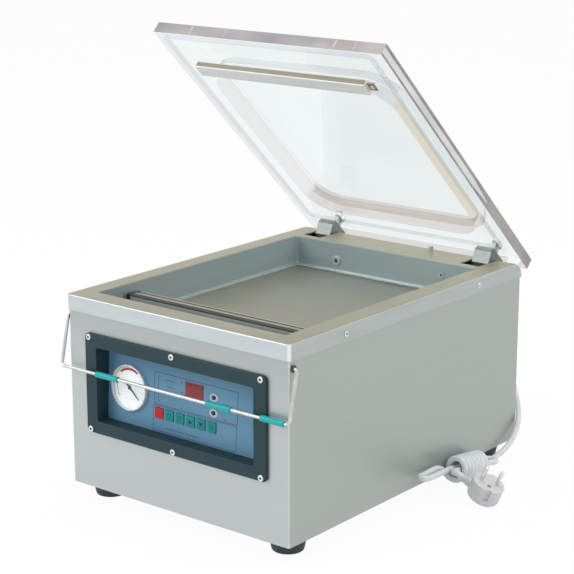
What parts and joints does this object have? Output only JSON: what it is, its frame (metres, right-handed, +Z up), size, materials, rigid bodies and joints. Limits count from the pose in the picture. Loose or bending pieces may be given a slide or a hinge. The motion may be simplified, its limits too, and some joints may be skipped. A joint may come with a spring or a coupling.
{
  "type": "vacuum sealer",
  "caption": "Tabletop chamber vacuum sealer with a clear hinged lid standing open, a seal bar, a recessed front panel with a gauge, a wire bail and a wrapped mains lead",
  "frame": {"origin": "On the table under the middle of the object with its lid open, the mains lead left out", "axes": "+X to the right seen from the front, +Y to the back, +Z up"},
  "size_m": [0.4275, 0.5426, 0.5452],
  "materials": {
    "steel_brushed": "satin brushed sheet",
    "steel_bright": "bright plated steel",
    "rubber_dark": "matt rubber",
    "bezel_slate": "matt moulded plastic",
    "panel_blue": "printed film",
    "key_teal": "smooth domed film",
    "key_red": "smooth domed film",
    "display_red": "tinted filter",
    "lamp_dark": "moulded",
    "dial_white": "printed card",
    "glass_clear": "clear",
    "acrylic_clear": "clear cast sheet, polished edges",
    "silicone_pale": "translucent silicone",
    "bar_aluminium": "anodised",
    "heater_metal": "resistance ribbon",
    "insulator_dark": "coated glass cloth",
    "board_green": "solder mask",
    "sleeve_teal": "soft plastic tube",
    "pump_iron": "painted casting",
    "cord_pale": "smooth flexible plastic"
  },
  "bodies": {
    "cabinet": {"cabinet_shell": "steel_brushed", "rear_panel": "steel_brushed", "base_plate": "steel_brushed", "top_frame": "steel_brushed", "chamber_tub": "steel_brushed", "foot_screws": "steel_bright", "frame_screws": "steel_bright", "bezel_screws": "steel_bright", "gauge_case": "steel_bright", "hinge_shaft": "steel_bright", "hinge_bearings": "steel_bright", "lid_springs": "steel_bright", "plug_pins": "steel_bright", "vacuum_port": "steel_bright", "feet": "rubber_dark", "vacuum_hose": "rubber_dark", "air_hose": "rubber_dark", "pump_mounts": "rubber_dark", "front_bezel": "bezel_slate", "control_panel": "panel_blue", "display_window": "display_red", "indicator_lamps": "lamp_dark", "lid_switch": "lamp_dark", "air_port": "lamp_dark", "solenoid_valves": "lamp_dark", "gauge_dial": "dial_white", "gauge_lens": "glass_clear", "lift_cylinders": "bar_aluminium", "control_board": "board_green", "vacuum_pump": "pump_iron", "pump_motor": "pump_iron", "transformer": "pump_iron", "cord_gland": "cord_pale", "cord_lead": "cord_pale", "cord_hank": "cord_pale", "plug_body": "cord_pale"},
    "lid": {"lid_plate": "acrylic_clear", "lid_gasket": "silicone_pale", "counter_bar": "bar_aluminium", "counter_pad": "silicone_pale", "counter_bar_screw": "steel_bright", "hinge_arm_left": "steel_bright", "hinge_arm_right": "steel_bright", "hinge_clamps": "steel_bright", "hinge_bolts": "steel_bright"},
    "bail": {"bail_wire": "steel_bright", "bail_sleeves": "sleeve_teal"},
    "seal_bar": {"seal_bar": "bar_aluminium", "seal_insulator": "insulator_dark", "heater_strip": "heater_metal", "bar_end_blocks": "lamp_dark", "lift_posts": "steel_bright"},
    "gauge_needle": {"gauge_needle": "lamp_dark"},
    "switch_plunger": {"switch_plunger": "steel_bright"},
    "stop_key": {"stop_key": "key_red"},
    "mode_key": {"mode_key": "key_teal"},
    "set_key": {"set_key": "key_teal"},
    "raise_key": {"raise_key": "key_teal"},
    "lower_key": {"lower_key": "key_teal"},
    "heat_key": {"heat_key": "key_teal"}
  },
  "joints": [
    {"name": "lid_hinge", "type": "hinge", "parent": "cabinet", "child": "lid", "pos_m": [0, 0.20567, 0.2166], "axis": [1, 0, 0], "range_deg": [0, 43.4], "stiffness_Nm_per_rad": 8, "springref_deg": -40.11},
    {"name": "bail_hinge", "type": "hinge", "parent": "cabinet", "child": "bail", "pos_m": [0, -0.22833, 0.22], "axis": [-1, 0, 0], "range_deg": [0, 195]},
    {"name": "bar_lift", "type": "slide", "parent": "cabinet", "child": "seal_bar", "axis": [0, 0, 1], "range_m": [0, 0.004]},
    {"name": "needle_turn", "type": "hinge", "parent": "cabinet", "child": "gauge_needle", "pos_m": [-0.083, -0.2203, 0.14644], "axis": [0, -0.9984, 0.0558], "range_deg": [0, 260]},
    {"name": "plunger_press", "type": "slide", "parent": "cabinet", "child": "switch_plunger", "axis": [0, 0, -1], "range_m": [0, 0.0057]},
    {"name": "stop_key_press", "type": "slide", "parent": "cabinet", "child": "stop_key", "axis": [0, 0.9984, -0.0558], "range_m": [0, 0.0005], "stiffness_N_per_m": 400},
    {"name": "mode_key_press", "type": "slide", "parent": "cabinet", "child": "mode_key", "axis": [0, 0.9984, -0.0558], "range_m": [0, 0.0005], "stiffness_N_per_m": 400},
    {"name": "set_key_press", "type": "slide", "parent": "cabinet", "child": "set_key", "axis": [0, 0.9984, -0.0558], "range_m": [0, 0.0005], "stiffness_N_per_m": 400},
    {"name": "raise_key_press", "type": "slide", "parent": "cabinet", "child": "raise_key", "axis": [0, 0.9984, -0.0558], "range_m": [0, 0.0005], "stiffness_N_per_m": 400},
    {"name": "lower_key_press", "type": "slide", "parent": "cabinet", "child": "lower_key", "axis": [0, 0.9984, -0.0558], "range_m": [0, 0.0005], "stiffness_N_per_m": 400},
    {"name": "heat_key_press", "type": "slide", "parent": "cabinet", "child": "heat_key", "axis": [0, 0.9984, -0.0558], "range_m": [0, 0.0005], "stiffness_N_per_m": 400}
  ],
  "couplings": [
    {"joint": "plunger_press", "follows": "lid_hinge", "m_per_rad": 0.007393}
  ]
}
